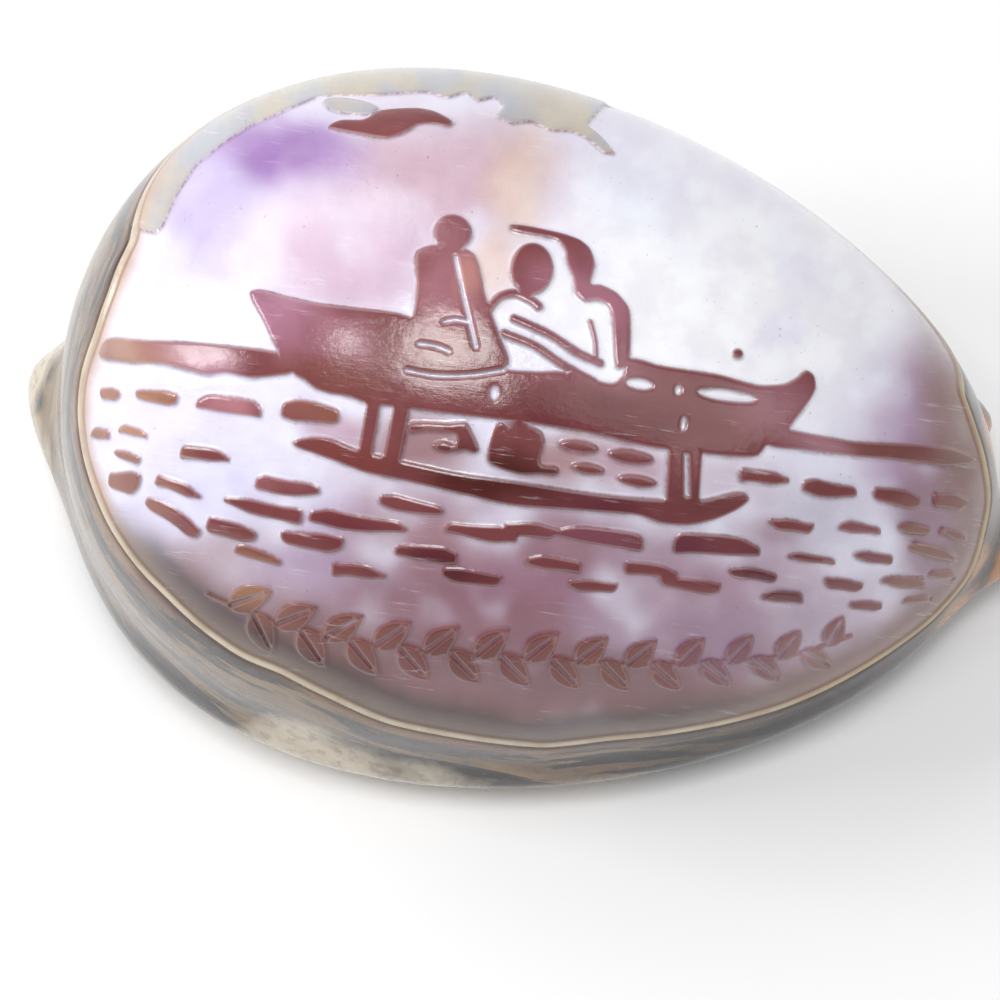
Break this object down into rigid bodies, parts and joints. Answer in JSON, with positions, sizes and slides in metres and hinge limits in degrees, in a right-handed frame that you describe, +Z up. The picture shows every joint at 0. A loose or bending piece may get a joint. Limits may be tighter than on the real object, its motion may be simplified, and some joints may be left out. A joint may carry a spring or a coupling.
{
  "type": "carved cowrie shell",
  "caption": "Egg-shaped cowrie shell with a toothed slit along its flat base, carved in low relief with a canoe, waves and clouds.",
  "frame": {"origin": "under the middle of the shell's box, on the surface that it rests on", "axes": "+Z up out of the back of the shell, +X towards its narrow front end along its length, -Y towards its outer lip"},
  "size_m": [0.085, 0.0572, 0.043],
  "materials": {
    "shell": "polished natural shell, carved through to its lilac and brown layers, with a spotted glossy margin and a cream base"
  },
  "bodies": {
    "root": {"cowrie_shell": "shell"}
  },
  "joints": []
}
